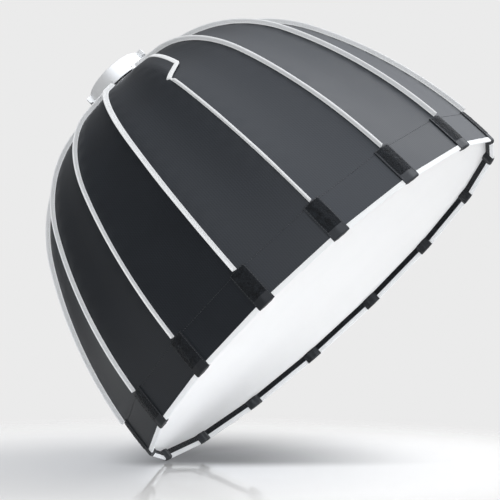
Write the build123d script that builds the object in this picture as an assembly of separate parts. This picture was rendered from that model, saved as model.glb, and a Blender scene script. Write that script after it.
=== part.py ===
from build123d import *
import os
from math import atan2, cos, degrees, pi, radians, sin, sqrt, tan

# A deep umbrella-framed reflector for a studio flash: sixteen sprung ribs hinge on a hub behind a
# bayonet ring and stretch a dome of sixteen fabric gores, closed in front by a white diffuser.
# Millimetres. The part lies with its opening towards -Y; the origin is the centre of the bayonet
# ring's rear face, where the lamp meets it, and rib 00 points straight up, along +Z.
# Everything is drawn on a dome axis z that starts at the rim plane and rises to the ring.

os.makedirs("parts", exist_ok=True)

# Dome outline along a rib, on the outside of the fabric, from the rim back to the neck
rib_count = 16
rim_radius = 350.0
rim_lean = radians(1.4)          # how far the wall already leans inwards at the rim
barrel_radius = 731.0            # long gentle arc of the side wall
barrel_turn = radians(25.6)
shoulder_radius = 247.0          # tighter arc over the shoulder
shoulder_turn = radians(44.7)

# Fabric
fabric_thickness = 1.2
seam_clearance = 0.1             # from each rib plane to the cut edge of a gore
lay_gap = 0.25                   # between one sewn layer and the next

# Bayonet ring
ring_bore_radius = 45.5
collar_wall = 4.5
collar_rise = 37.35              # ring's rear face above the hub's face
ring_flange_width = 4.0
ring_flange_thickness = 2.0
ring_chamfer = 0.6
lug_angles = (-171.5, 10.5, 99.5)  # middle of each lug, degrees from rib 00
lug_half_angle = 14.0
lug_reach = 8.0
lug_height = 10.0
stop_width = 3.0
stop_height = 10.0
stop_reach = 4.0
grub_hole_angles = (-92.0, -46.0)  # blind holes beside the fabric, degrees from rib 00
grub_hole_radius = 1.2
grub_hole_depth = 2.0
grub_hole_drop = 20.5            # below the rear face

# Hub
hub_bore_step = 0.5              # the hub's bore is this much wider than the ring's, in radius
hub_height = 12.0
hub_edge = 3.5                   # metal outside the pin circle
hub_fabric_clearance = 0.4
plate_thickness = 2.0
plate_bore_clearance = 0.3
flange_clearance = 0.2

# Hinges
pin_circle_offset = 13.0         # pin circle outside the collar
pin_radius = 1.5
pin_clearance = 0.05
pin_seat = 4.1                   # length of pin held by the hub on each side of its heel
heel_width = 7.0
heel_clearance = 0.2             # each side, in the hub's slot
heel_boss_wall = 2.9
heel_fabric_clearance = 0.35
heel_wall = 1.4
heel_length = 24.0
slot_floor_clearance = 1.1

# Ribs
rod_radius = 2.5
rod_end_gap = 1.0                # rod's end to the boss of its heel
ferrule_wall = 0.7
ferrule_length = 10.0
ferrule_inset = 3.0              # end of the ferrule short of the rim
ferrule_clearance = 0.5          # to the inside of the fabric

# White bound seam that stands up over each rib
fin_height = 7.2
fin_thickness = 2.8
fin_neck_gap = 6.5               # where the seams stop, outside the neck

# Tip pockets of loop tape, folded over the rim
pocket_width = 28.0
pocket_length = 61.0
tape_thickness = 1.5
pocket_inner_gap = 0.6           # inner end of the pocket short of the diffuser

# Rim binding, front tape and diffuser
binding_thickness = 1.0
binding_height = 5.2
binding_inner_step = 0.4         # the inner leg is this much shorter
binding_lip = 1.6                # how far the binding stands past the cut edge
front_tape_width = 8.2
front_tape_thickness = 1.1
diffuser_set_back = 0.6          # behind the front tape
diffuser_thickness = 1.0
diffuser_hem_width = 20.0
diffuser_notch = 1.1             # room round each rod

# Access flap, over the slit beside one rib
flap_rib = 13
flap_width = 32.0
flap_inner_end = 244.0           # how far out the flap reaches at its hinge side
flap_outer_end = 230.0           # and at its free side
flap_thickness = 1.2
flap_binding_width = 7.0
flap_binding_thickness = 0.8
flap_binding_gap = 0.1
flap_seam_margin = 2.5           # from the free edge to the next rib plane

# Plate screws
screw_count = 8
screw_circle_step = 2.5          # inside the pin circle
screw_radius = 1.5
screw_head_radius = 3.0
screw_head_depth = 1.6
screw_length = 10.0
screw_clearance = 0.1
screw_socket_radius = 1.1
screw_socket_depth = 0.7

# Elastic hem round the collar
neck_gap = 1.5                   # collar to the cut ends of the gores
neck_hem_radius = 1.3

# Worked out from the sizes above
half_pitch = pi / rib_count
pitch_degrees = 360.0 / rib_count
squeeze = cos(half_pitch)        # a gore is straight between two ribs, so its middle lies nearer the axis
barrel_length = barrel_radius * barrel_turn
shoulder_length = shoulder_radius * shoulder_turn
crown_lean = rim_lean + barrel_turn + shoulder_turn
collar_radius = ring_bore_radius + collar_wall
ring_flange_radius = collar_radius + ring_flange_width
lug_radius = collar_radius + lug_reach
stop_radius = collar_radius + stop_reach
neck_radius = collar_radius + neck_gap
fin_neck_radius = neck_radius + fin_neck_gap
pin_circle_radius = collar_radius + pin_circle_offset
hub_bore_radius = ring_bore_radius + hub_bore_step
hub_radius = pin_circle_radius + hub_edge
heel_boss_radius = pin_radius + heel_boss_wall
slot_floor_radius = pin_circle_radius - heel_boss_radius - slot_floor_clearance
pin_length = heel_width + 2 * (heel_clearance + pin_seat)
ferrule_radius = rod_radius + ferrule_wall
rod_depth = (fabric_thickness + ferrule_clearance + ferrule_radius) / squeeze
rod_tip_inset = ferrule_inset + ferrule_length
heel_top_depth = (fabric_thickness + heel_fabric_clearance) / squeeze + heel_width / 2 * tan(half_pitch)
heel_bottom_depth = rod_depth + rod_radius + heel_wall
diffuser_recess = binding_height + front_tape_width + diffuser_set_back
pocket_inner_length = diffuser_recess - pocket_inner_gap
screw_circle_radius = pin_circle_radius - screw_circle_step


def arc_end(start, lean, radius, turn):
    """End of an arc that starts at a lean from the axis and turns inwards."""
    centre = (start[0] - radius * cos(lean), start[1] - radius * sin(lean))
    return (centre[0] + radius * cos(lean + turn), centre[1] + radius * sin(lean + turn))


barrel_start = (rim_radius, 0.0)
shoulder_start = arc_end(barrel_start, rim_lean, barrel_radius, barrel_turn)
crown_start = arc_end(shoulder_start, rim_lean + barrel_turn, shoulder_radius, shoulder_turn)


def outline_state(run):
    """Point and lean of the rib outline at a distance along it from the rim."""
    if run <= 0:
        return (rim_radius - run * sin(rim_lean), run * cos(rim_lean)), rim_lean
    if run <= barrel_length:
        turn = run / barrel_radius
        return arc_end(barrel_start, rim_lean, barrel_radius, turn), rim_lean + turn
    if run <= barrel_length + shoulder_length:
        turn = (run - barrel_length) / shoulder_radius
        lean = rim_lean + barrel_turn
        return arc_end(shoulder_start, lean, shoulder_radius, turn), lean + turn
    rest = run - barrel_length - shoulder_length
    return (crown_start[0] - rest * sin(crown_lean), crown_start[1] + rest * cos(crown_lean)), crown_lean


def outline_point(run, depth=0.0, scale=1.0):
    """Point below the outside of the fabric; scale draws the outline at the middle of a gore."""
    (radius, height), lean = outline_state(run)
    along = (-sin(lean) * scale, cos(lean))
    size = sqrt(along[0] ** 2 + along[1] ** 2)
    return (radius * scale - depth * along[1] / size, height + depth * along[0] / size)


def crown_run(radius):
    """Distance along the outline at which it reaches a radius on its straight last part."""
    return barrel_length + shoulder_length + (crown_start[0] - radius) / sin(crown_lean)


def run_at_radius(radius):
    """Distance along the outline at which it reaches a radius, on any of its parts."""
    if radius <= crown_start[0]:
        return crown_run(radius)
    low, high = 0.0, barrel_length + shoulder_length
    for _ in range(60):
        middle = (low + high) / 2
        low, high = (middle, high) if outline_state(middle)[0][0] > radius else (low, middle)
    return low


def fabric_height(radius):
    """Height of the outside of the fabric at a radius near the neck."""
    return outline_state(crown_run(radius))[0][1]


hub_edge_run = crown_run(hub_radius / squeeze)
hub_top = outline_point(hub_edge_run, fabric_thickness, squeeze)[1] - hub_fabric_clearance - plate_thickness
ring_height = hub_top + collar_rise
pin_height = hub_top - pin_radius - pin_clearance
dome_frame = Plane(origin=(0, -ring_height, 0), x_dir=(0, 0, 1), z_dir=(0, 1, 0))


def outline_edges(start, end, depth, scale=1.0):
    """The outline from one run to another as lines and arcs, at a depth."""
    stops = [0.0, barrel_length, barrel_length + shoulder_length]
    marks = [start] + [stop for stop in stops if start < stop < end] + [end]
    edges = []
    for a, b in zip(marks, marks[1:]):
        first, middle, last = (outline_point(run, depth, scale) for run in (a, (a + b) / 2, b))
        curved = 0.0 <= a < stops[2]
        edges.append(ThreePointArc(first, middle, last) if curved else Line(first, last))
    return edges


def strip_face(start, end, outer, inner, scale=1.0):
    """Section of a layer between two depths, drawn on the XZ plane."""
    ends = [Line(outline_point(run, outer, scale), outline_point(run, inner, scale)) for run in (start, end)]
    loop = outline_edges(start, end, outer, scale) + outline_edges(start, end, inner, scale) + ends
    return Plane.XZ * make_face(Wire(loop))


def strip(start, end, outer, inner, half_width, scale=1.0):
    """A layer of constant width, centred on the XZ plane."""
    return extrude(strip_face(start, end, outer, inner, scale), half_width, both=True)


def plan_prism(points):
    """Everything above and below a flat outline drawn across the dome's axis."""
    return extrude(make_face(Polyline(points, close=True)), 2 * ring_height, both=True)


def gore_wedge(clearance):
    """The space between two rib planes, less a clearance from each."""
    apex = clearance / sin(half_pitch)
    reach = 2 * rim_radius
    side = (reach - apex) * tan(half_pitch)
    return plan_prism([(apex, 0), (reach, -side), (reach, side)])


def box_between(low, high):
    size = [b - a for a, b in zip(low, high)]
    middle = [(a + b) / 2 for a, b in zip(low, high)]
    return Pos(*middle) * Box(*size)


def ring_of(inner, outer, bottom, top):
    """A flat ring about the dome's axis."""
    face = Rectangle(outer - inner, top - bottom)
    section = Plane.XZ * Pos((inner + outer) / 2, (bottom + top) / 2) * face
    return revolve(section, Axis.Z)


def chamfered_ring(inner, outer, bottom, top):
    """The same with its rear corners cut off."""
    corners = [
        (inner, bottom),
        (outer, bottom),
        (outer, top - ring_chamfer),
        (outer - ring_chamfer, top),
        (inner + ring_chamfer, top),
        (inner, top - ring_chamfer),
    ]
    return revolve(Plane.XZ * make_face(Polyline(corners, close=True)), Axis.Z)


def turned(shape, angle):
    return Rot(0, 0, angle) * shape


def round_the_rim(shape, first_angle=0.0, count=rib_count):
    """Copies of a shape, evenly spaced about the dome's axis."""
    return [turned(shape, first_angle + 360.0 / count * number) for number in range(count)]


def solids_of(shape):
    return list(shape.solids())


def save(name, *shapes):
    """Place the shapes in the part's own frame and write them as one node."""
    placed = []
    for shape in shapes:
        placed += solids_of(Location(dome_frame) * shape)
    export_step(placed[0] if len(placed) == 1 else Compound(children=placed), f"parts/{name}.step")
    print(name, len(placed), "solids", round(sum(solid.volume for solid in placed)), "mm3")


# Sewn layers

neck_run = crown_run(neck_radius)
fin_end_run = crown_run(fin_neck_radius)
half_rim_width = rim_radius * sin(half_pitch)
between_pockets = half_rim_width - pocket_width / 2 - lay_gap


def make_gore():
    """One panel, flat across between its two ribs."""
    sheet = strip(0, neck_run, 0, fabric_thickness, rim_radius, squeeze)
    return solids_of(sheet & gore_wedge(seam_clearance))[0]


def make_seam_fin(start):
    """The folded white tape that binds two gores together and stands up over the rib."""
    return strip(start, fin_end_run, -lay_gap - fin_height, -lay_gap, fin_thickness / 2)


def make_pocket():
    """Loop tape laid over the ridge, round the rim and up inside, to hold the rod's tip."""
    outside = -lay_gap - tape_thickness
    inside = rod_depth * squeeze + ferrule_radius + lay_gap
    below = -2 * lay_gap
    edge = outline_point(0, 0, squeeze)[0]
    outer_leg = strip(below, pocket_length, outside, -lay_gap, rim_radius, squeeze)
    sole = box_between(
        (edge - inside - tape_thickness, -rim_radius, below - tape_thickness),
        (edge - outside, rim_radius, below + lay_gap),
    )
    inner_leg = strip(below, pocket_inner_length, inside, inside + tape_thickness, rim_radius, squeeze)
    side = -half_rim_width
    band = box_between(
        (0, side - pocket_width, -ring_height),
        (2 * rim_radius, side + pocket_width / 2, ring_height),
    )
    half = turned((outer_leg + sole + inner_leg) & band & gore_wedge(0), degrees(half_pitch))
    return solids_of(half + mirror(half, about=Plane.XZ))[0]


def make_rim_binding():
    """White tape folded over the cut edge of one gore, from pocket to pocket."""
    outer = -lay_gap - binding_thickness
    inner = fabric_thickness + lay_gap
    inside = inner + binding_thickness
    inner_height = binding_height - binding_inner_step
    legs = strip(-binding_lip, binding_height, outer, -lay_gap, between_pockets, squeeze)
    legs += strip(-binding_lip, inner_height, inner, inside, between_pockets, squeeze)
    return legs + strip(-binding_lip, -lay_gap, outer, inside, between_pockets, squeeze)


def make_front_tape():
    """Loop tape along the inside of the lip, behind the binding."""
    start = binding_height
    top = fabric_thickness + lay_gap
    return strip(start, start + front_tape_width, top, top + front_tape_thickness, between_pockets, squeeze)


# Frame

rod_end_run = crown_run(pin_circle_radius) - heel_boss_radius - rod_end_gap
heel_run = rod_end_run - heel_length


def make_rod():
    """Sprung steel rod, bent along the inside of the fabric."""
    edges = outline_edges(rod_tip_inset, rod_end_run, rod_depth)
    path = Wire([Plane.XZ * edge for edge in edges])
    return sweep(Plane(path @ 0, z_dir=path % 0) * Circle(rod_radius), path=path)


def make_ferrule():
    """Round-nosed cap on the rod's end."""
    tip = outline_point(ferrule_inset + ferrule_radius, rod_depth)
    rod_end = outline_point(rod_tip_inset, rod_depth)
    along = Vector(rod_end[0] - tip[0], 0, rod_end[1] - tip[1])
    body = extrude(Plane(origin=(tip[0], 0, tip[1]), z_dir=along) * Circle(ferrule_radius), along.length)
    return body + Pos(tip[0], 0, tip[1]) * Sphere(ferrule_radius)


def make_heel():
    """Forged heel: a boss on the hinge pin and a socket for the rod."""
    corners = [
        outline_point(crown_run(pin_circle_radius), heel_top_depth),
        outline_point(heel_run, heel_top_depth),
        outline_point(heel_run, heel_bottom_depth),
        outline_point(crown_run(pin_circle_radius), heel_bottom_depth),
    ]
    arm = extrude(Plane.XZ * make_face(Polyline(corners, close=True)), heel_width / 2, both=True)
    hinge = Plane.XZ * Pos(pin_circle_radius, pin_height)
    boss = extrude(hinge * Circle(heel_boss_radius), heel_width / 2, both=True)
    bore = extrude(hinge * Circle(pin_radius + pin_clearance), heel_width, both=True)
    mouth, floor = outline_point(heel_run - heel_length, rod_depth), outline_point(rod_end_run, rod_depth)
    along = Vector(floor[0] - mouth[0], 0, floor[1] - mouth[1])
    socket = Plane(origin=(mouth[0], 0, mouth[1]), z_dir=along) * Circle(rod_radius + pin_clearance)
    return arm + boss - bore - extrude(socket, along.length)


def make_hub():
    """Cast ring with sixteen slots for the heels and open grooves for their pins."""
    ring = ring_of(hub_bore_radius, hub_radius, hub_top - hub_height, hub_top)
    recess_radius = ring_flange_radius + flange_clearance
    recess = ring_of(0.5 * hub_bore_radius, recess_radius, hub_top - ring_flange_thickness, hub_top)
    slot = box_between(
        (slot_floor_radius, -heel_width / 2 - heel_clearance, 0),
        (2 * hub_radius, heel_width / 2 + heel_clearance, ring_height),
    )
    groove_radius = pin_radius + pin_clearance
    groove_half = pin_length / 2 + pin_clearance
    pin_place = Plane.XZ * Pos(pin_circle_radius, pin_height)
    groove = extrude(pin_place * Circle(groove_radius), groove_half, both=True)
    groove += box_between(
        (pin_circle_radius - groove_radius, -groove_half, pin_height),
        (pin_circle_radius + groove_radius, groove_half, ring_height),
    )
    ring -= recess
    ring -= Compound(round_the_rim(slot))
    ring -= Compound(round_the_rim(groove))
    hole = Pos(screw_circle_radius, 0, hub_top) * Cylinder(screw_radius + pin_clearance, 2 * screw_length)
    return ring - Compound(round_the_rim(hole, degrees(half_pitch), screw_count))


def make_plate():
    """Thin ring over the hub that traps the pins and the bayonet ring's flange."""
    plate = ring_of(collar_radius + plate_bore_clearance, hub_radius, hub_top, hub_top + plate_thickness)
    slot = box_between(
        (slot_floor_radius, -heel_width / 2 - heel_clearance, 0),
        (2 * hub_radius, heel_width / 2 + heel_clearance, ring_height),
    )
    plate -= Compound(round_the_rim(slot))
    hole = Pos(screw_circle_radius, 0, hub_top) * Cylinder(screw_radius + screw_clearance, 2 * screw_length)
    cone = Pos(screw_circle_radius, 0, hub_top + plate_thickness - screw_head_depth / 2) * Cone(
        screw_radius + screw_clearance, screw_head_radius + screw_clearance, screw_head_depth
    )
    plate -= Compound(round_the_rim(hole, degrees(half_pitch), screw_count))
    return plate - Compound(round_the_rim(cone, degrees(half_pitch), screw_count))


def make_screw():
    """Countersunk screw, flush with the plate."""
    top = hub_top + plate_thickness
    head = Pos(screw_circle_radius, 0, top - screw_head_depth / 2) * Cone(
        screw_radius, screw_head_radius, screw_head_depth
    )
    shank = Pos(screw_circle_radius, 0, top - screw_length / 2) * Cylinder(screw_radius, screw_length)
    hexagon = RegularPolygon(screw_socket_radius, 6)
    socket = Pos(screw_circle_radius, 0, top) * extrude(hexagon, screw_socket_depth, both=True)
    return head + shank - socket


def make_bayonet_ring():
    """Turned collar with three lugs, each with a stop at one end."""
    bottom = hub_top - ring_flange_thickness
    ring = chamfered_ring(ring_bore_radius, collar_radius, bottom, ring_height)
    ring += ring_of(ring_bore_radius, ring_flange_radius, bottom, hub_top)
    in_wall = 0.5 * (ring_bore_radius + collar_radius)
    across = 2 * lug_radius * cos(radians(lug_half_angle))
    aside = 2 * lug_radius * sin(radians(lug_half_angle))
    sector = plan_prism([(0, 0), (across, -aside), (across, aside)])
    lug = chamfered_ring(in_wall, lug_radius, ring_height - lug_height, ring_height) & sector
    stop = box_between(
        (in_wall, -stop_width, ring_height - lug_height - stop_height),
        (stop_radius, 0, ring_height - lug_height / 2),
    )
    for angle in lug_angles:
        ring += turned(lug, angle)
        ring += turned(stop, angle + lug_half_angle)
    hole = Pos(collar_radius, 0, ring_height - grub_hole_drop) * Rot(0, 90, 0)
    hole *= Cylinder(grub_hole_radius, 2 * grub_hole_depth)
    for angle in grub_hole_angles:
        ring -= turned(hole, angle)
    return ring


def make_neck_hem():
    """Elastic hem that draws the gores' inner ends round the collar."""
    major = collar_radius + neck_hem_radius + lay_gap
    height = fabric_height(neck_radius) + neck_hem_radius + 2 * lay_gap
    return Pos(0, 0, height) * Torus(major, neck_hem_radius)


# Diffuser

def make_diffuser():
    """Flat white cloth across the front, notched for the rods."""
    level = diffuser_recess
    apothem = outline_point(level, fabric_thickness + lay_gap, squeeze)[0]
    sheet = extrude(RegularPolygon(apothem, rib_count, major_radius=False), diffuser_thickness)
    sheet = Pos(0, 0, level) * sheet
    rod_x = outline_point(level, rod_depth)[0]
    notch_reach = rod_radius + diffuser_notch
    notch = box_between(
        (rod_x - notch_reach, -notch_reach, 0), (2 * rim_radius, notch_reach, 2 * level)
    )
    return sheet - Compound(round_the_rim(notch))


def make_diffuser_hem():
    """Hook tape turned back along the inside of one gore, behind the cloth."""
    start = diffuser_recess + diffuser_thickness + lay_gap
    top = fabric_thickness + 2 * lay_gap
    width = half_rim_width - rod_depth - rod_radius - diffuser_notch
    return strip(start, start + diffuser_hem_width, top, top + front_tape_thickness, width, squeeze)


# Access flap, drawn across the gore beside its rib

def flap_outline(inset):
    """Plan of the flap, drawn in by an amount on every side but the hinge side."""
    slope = tan(half_pitch)
    start = fin_neck_radius * squeeze + inset
    margin = flap_seam_margin + inset
    width = flap_width - inset
    end = flap_inner_end - inset
    free_end = flap_outer_end - inset
    meet = (width + margin) / (2 * slope)
    return [
        (start, -start * slope),
        (end, -end * slope),
        (free_end, -free_end * slope + width),
        (meet, meet * slope - margin),
        (start, start * slope - margin),
    ]


flap_end_run = run_at_radius(flap_inner_end / squeeze) - flap_width


def make_flap():
    """Fabric that laps over the next gore and closes the slit."""
    bottom = -lay_gap
    sheet = strip(flap_end_run, fin_end_run, bottom - flap_thickness, bottom, rim_radius, squeeze)
    return solids_of(sheet & plan_prism(flap_outline(0)))[0]


def make_flap_binding():
    """White tape round the flap's free edges."""
    bottom = -lay_gap - flap_thickness - flap_binding_gap
    sheet = strip(flap_end_run, fin_end_run, bottom - flap_binding_thickness, bottom, rim_radius, squeeze)
    inner = flap_outline(flap_binding_width)
    hinge_side = [(x, y - flap_binding_width) for x, y in inner[:2]]
    frame = plan_prism(flap_outline(0)) - plan_prism(hinge_side + inner[2:])
    return solids_of(sheet & frame)[0]


gore = make_gore()
fin = make_seam_fin(pocket_length + lay_gap)
short_fin_end = run_at_radius(flap_inner_end / squeeze)
pocket = make_pocket()
rod = make_rod()
ferrule = make_ferrule()
heel = make_heel()
short_fin = strip(
    pocket_length + lay_gap, short_fin_end - lay_gap, -lay_gap - fin_height, -lay_gap, fin_thickness / 2
)

for number in range(rib_count):
    angle = pitch_degrees * number
    seam = short_fin if number == flap_rib else fin
    save(f"rib_{number:02d}", *(turned(piece, angle) for piece in (rod, ferrule, heel)))
    save(f"rib_seam_{number:02d}", turned(seam, angle), turned(pocket, angle))
    save(f"gore_{number:02d}", turned(gore, angle + pitch_degrees / 2))

pin = extrude(Plane.XZ * Pos(pin_circle_radius, pin_height) * Circle(pin_radius), pin_length / 2, both=True)
save("hub_ring", make_hub())
save("bayonet_ring", make_bayonet_ring())
save("retaining_plate", make_plate())
save("plate_screws", *round_the_rim(make_screw(), degrees(half_pitch), screw_count))
save("hinge_pins", *round_the_rim(pin))
save("neck_hem", make_neck_hem())
save("rim_binding", *round_the_rim(make_rim_binding(), degrees(half_pitch)))
save("front_loop_tape", *round_the_rim(make_front_tape(), degrees(half_pitch)))
save("front_diffuser", make_diffuser())
save("diffuser_hem", *round_the_rim(make_diffuser_hem(), degrees(half_pitch)))
flap_angle = pitch_degrees * flap_rib + pitch_degrees / 2
save("access_flap", turned(make_flap(), flap_angle))
save("flap_binding", turned(make_flap_binding(), flap_angle))

tip = outline_point(0, rod_depth)
reach = sqrt((tip[0] - pin_circle_radius) ** 2 + (pin_height - tip[1]) ** 2)
lean = degrees(atan2(tip[0] - pin_circle_radius, pin_height))
print("rib from pin to tip", round(reach, 1), "mm at", round(lean, 2))
print("ring height", round(ring_height, 3), "hub top", round(hub_top, 3))
print("pin height", round(pin_height, 3))
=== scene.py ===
import math
import bmesh
import bpy
from mathutils import Matrix, Vector, noise


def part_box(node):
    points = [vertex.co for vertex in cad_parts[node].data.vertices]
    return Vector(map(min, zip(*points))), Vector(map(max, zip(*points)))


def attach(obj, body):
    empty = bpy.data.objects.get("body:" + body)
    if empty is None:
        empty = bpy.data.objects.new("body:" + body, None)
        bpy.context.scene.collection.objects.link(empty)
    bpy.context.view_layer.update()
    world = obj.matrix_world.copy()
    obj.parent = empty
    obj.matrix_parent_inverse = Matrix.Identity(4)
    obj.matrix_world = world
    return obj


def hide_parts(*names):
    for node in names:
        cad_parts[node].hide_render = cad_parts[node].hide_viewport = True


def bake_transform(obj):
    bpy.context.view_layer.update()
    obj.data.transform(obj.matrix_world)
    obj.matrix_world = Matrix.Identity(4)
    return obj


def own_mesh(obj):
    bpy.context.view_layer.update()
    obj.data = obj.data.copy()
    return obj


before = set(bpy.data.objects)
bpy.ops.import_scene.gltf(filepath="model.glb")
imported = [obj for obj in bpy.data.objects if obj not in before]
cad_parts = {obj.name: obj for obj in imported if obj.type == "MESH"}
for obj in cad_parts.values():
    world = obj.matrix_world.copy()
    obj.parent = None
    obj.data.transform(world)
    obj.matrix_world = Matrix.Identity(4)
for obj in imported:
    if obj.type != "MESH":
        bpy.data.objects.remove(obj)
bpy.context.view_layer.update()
print("frame loaded")

# The dome: the same arcs and layers as the sewn solids, in millimetres and degrees.
# x points away from the axis, y across a panel, z from the rim back to the ring.
dome = {
    "ribs": 16,
    "rimRadius": 350.0,
    "rimLean": 1.4,
    "barrelRadius": 731.0,
    "barrelTurn": 25.6,
    "shoulderRadius": 247.0,
    "shoulderTurn": 44.7,
    "neckRadius": 51.5,
    "finNeckRadius": 58.0,
    "fabric": 1.2,
    "layGap": 0.25,
    "diffuserRecess": 14.0,
}
halfPitch = math.pi / dome["ribs"]
squeeze = math.cos(halfPitch)  # a panel is straight from rib to rib, so its middle lies nearer the axis
slope = math.tan(halfPitch)
ringHeight = dome["diffuserRecess"] - 1000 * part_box("front_diffuser")[0].y


def outlineState(run):  # radius, height and lean of the outline at a distance from the rim
    lean = math.radians(dome["rimLean"])
    radius = dome["rimRadius"]
    height = 0.0
    if run > 0:
        for arc, turn in (("barrelRadius", "barrelTurn"), ("shoulderRadius", "shoulderTurn")):
            full = math.radians(dome[turn])
            swept = min(run / dome[arc], full)
            radius += dome[arc] * (math.cos(lean + swept) - math.cos(lean))
            height += dome[arc] * (math.sin(lean + swept) - math.sin(lean))
            run -= dome[arc] * swept
            lean += swept
            if swept < full:
                return radius, height, lean
    return radius - run * math.sin(lean), height + run * math.cos(lean), lean


def outlinePoint(run, lift=0.0, scale=1.0):  # a point proud of the fabric; scale squeeze is a panel's middle
    radius, height, lean = outlineState(run)
    acrossAxis = -math.sin(lean) * scale
    alongAxis = math.cos(lean)
    size = math.hypot(acrossAxis, alongAxis)
    return radius * scale + lift * alongAxis / size, height - lift * acrossAxis / size


def runAtRadius(radius):  # halves the outline again and again until the radius is met
    low, high = 0.0, 650.0
    for step in range(50):
        middle = (low + high) / 2
        if outlineState(middle)[0] > radius:
            low = middle
        else:
            high = middle
    return low


neckRun = runAtRadius(dome["neckRadius"])
finEndRun = runAtRadius(dome["finNeckRadius"])


def toRow(x, y, z):  # dome millimetres to metres in the shared frame, for the panel or rib that points up
    return Vector((y, z - ringHeight, x)) / 1000


def smoothStep(value, low, high):
    t = min(max((value - low) / (high - low), 0.0), 1.0)
    return t * t * (3 - 2 * t)


def spread(low, high, count):
    return [low + (high - low) * i / count for i in range(count + 1)]


# Small modelling tools

def deselectAll():
    bpy.ops.object.select_all(action="DESELECT")


def makeActive(piece):
    deselectAll()
    piece.select_set(True)
    bpy.context.view_layer.objects.active = piece


def applyModifier(piece, kind, **settings):
    modifier = piece.modifiers.new(kind, kind)
    for key, value in settings.items():
        setattr(modifier, key, value)
    makeActive(piece)
    bpy.ops.object.modifier_apply(modifier=modifier.name)


def smoothBelow(piece, degrees):  # smooth shading, with edges sharper than this left crisp
    makeActive(piece)
    bpy.ops.object.shade_smooth_by_angle(angle=math.radians(degrees))


def placed(name, data):  # a new object in the scene
    made = bpy.data.objects.new(name, data)
    bpy.context.scene.collection.objects.link(made)
    return made


def pieceFrom(name, shape):  # a piece from a finished edit mesh
    made = bpy.data.meshes.new(name)
    shape.to_mesh(made)
    shape.free()
    return placed(name, made)


def gridPiece(name, rows, girth=0.0, caps=False, flip=False):
    # rows of (point, u, v), u and v in metres along the cloth; a girth closes each row into a ring
    sheetMesh = bmesh.new()
    uvLayer = sheetMesh.loops.layers.uv.new("cloth")
    grid = [[sheetMesh.verts.new(corner[0]) for corner in row] for row in rows]
    count = len(rows[0])
    for i in range(len(rows) - 1):
        for j in range(count if girth else count - 1):
            k = (j + 1) % count
            extra = girth if k == 0 else 0.0
            corners = [(i, j, 0.0), (i, k, extra), (i + 1, k, extra), (i + 1, j, 0.0)]
            if flip:
                corners.reverse()
            face = sheetMesh.faces.new([grid[a][b] for a, b, more in corners])
            face.smooth = True
            for loop, (a, b, more) in zip(face.loops, corners):
                loop[uvLayer].uv = (rows[a][b][1] + more, rows[a][b][2])
    if caps:
        for row in (grid[0], grid[-1]):
            sheetMesh.faces.new(row)
        bmesh.ops.recalc_face_normals(sheetMesh, faces=sheetMesh.faces)
    return pieceFrom(name, sheetMesh)


def mergeDoubles(piece):
    makeActive(piece)
    bpy.ops.object.mode_set(mode="EDIT")
    bpy.ops.mesh.select_all(action="SELECT")
    bpy.ops.mesh.remove_doubles(threshold=1e-6)
    bpy.ops.object.mode_set(mode="OBJECT")


def turnedCopy(piece, name, angle):  # a copy with its own mesh, turned round the dome's axis
    made = piece.data.copy()
    made.name = name
    made.transform(Matrix.Rotation(angle, 4, "Y"))
    return placed(name, made)


def joined(*pieces):
    makeActive(pieces[0])
    for piece in pieces[1:]:
        piece.select_set(True)
    bpy.ops.object.join()
    return pieces[0]


def discard(*pieces):
    for piece in pieces:
        bpy.data.objects.remove(piece)


def ribAngle(number):
    return 2 * halfPitch * number


def panelHalves():  # number, side, letter, the arm that carries the half, and the angle of the panel's middle
    for number in range(dome["ribs"]):
        for side, letter in ((-1, "a"), (1, "b")):
            arm = (number + (1 if side > 0 else 0)) % dome["ribs"]
            yield number, side, letter, arm, ribAngle(number) + halfPitch


def clothRows(runs, acrossAt, pointAt):  # rows for gridPiece, measured along the cloth by run and across
    return [[(pointAt(run, across), across / 1000, run / 1000) for across in acrossAt(run)] for run in runs]


# Materials

def linear(code):  # an sRGB hex value made linear
    parts = [int(code[i:i + 2], 16) / 255 for i in (1, 3, 5)]
    return [c / 12.92 if c <= 0.04045 else ((c + 0.055) / 1.055) ** 2.4 for c in parts] + [1.0]


def addNode(tree, kind, inputs=None, output=None, **settings):  # gives the node, or the output that is named
    node = tree.nodes.new("ShaderNode" + kind)
    for key, value in settings.items():
        setattr(node, key, value)
    for key, value in (inputs or {}).items():
        if isinstance(value, bpy.types.NodeSocket):
            tree.links.new(value, node.inputs[key])
        else:
            node.inputs[key].default_value = value
    return node if output is None else node.outputs[output]


def newMaterial(name, **constants):
    material = bpy.data.materials.new(name)
    material.use_nodes = True
    tree = material.node_tree
    shader = tree.nodes["Principled BSDF"]
    for key, value in constants.items():
        shader.inputs[key.replace("_", " ")].default_value = value
    return material, tree, shader


def waveScale(millimetres):  # the Wave Texture's scale for a spacing of its straight bands
    return 2 * math.pi / (20 * millimetres / 1000)


def grainScale(millimetres):  # the Noise and Voronoi Textures' scale for a size of their cells
    return 1000 / millimetres


def layFinish(tree, shader, look, shade, height=None, wear=None):
    # colour between the look's two tones, relief from a height, and roughness from the wear
    dark, light = look["tones"]
    colours = {"Factor": shade, "A": linear(dark), "B": linear(light)}
    colour = addNode(tree, "Mix", colours, "Result", data_type="RGBA")
    tree.links.new(colour, shader.inputs["Base Color"])
    if height is not None:
        relief = {"Height": height, "Distance": look["relief"] / 1000, "Strength": look["strength"]}
        tree.links.new(addNode(tree, "Bump", relief, "Normal"), shader.inputs["Normal"])
    if wear is not None:
        smooth, rough = look["roughness"]
        worn = addNode(tree, "MapRange", {"Value": wear, "To Min": smooth, "To Max": rough}, "Result")
        tree.links.new(worn, shader.inputs["Roughness"])


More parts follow.
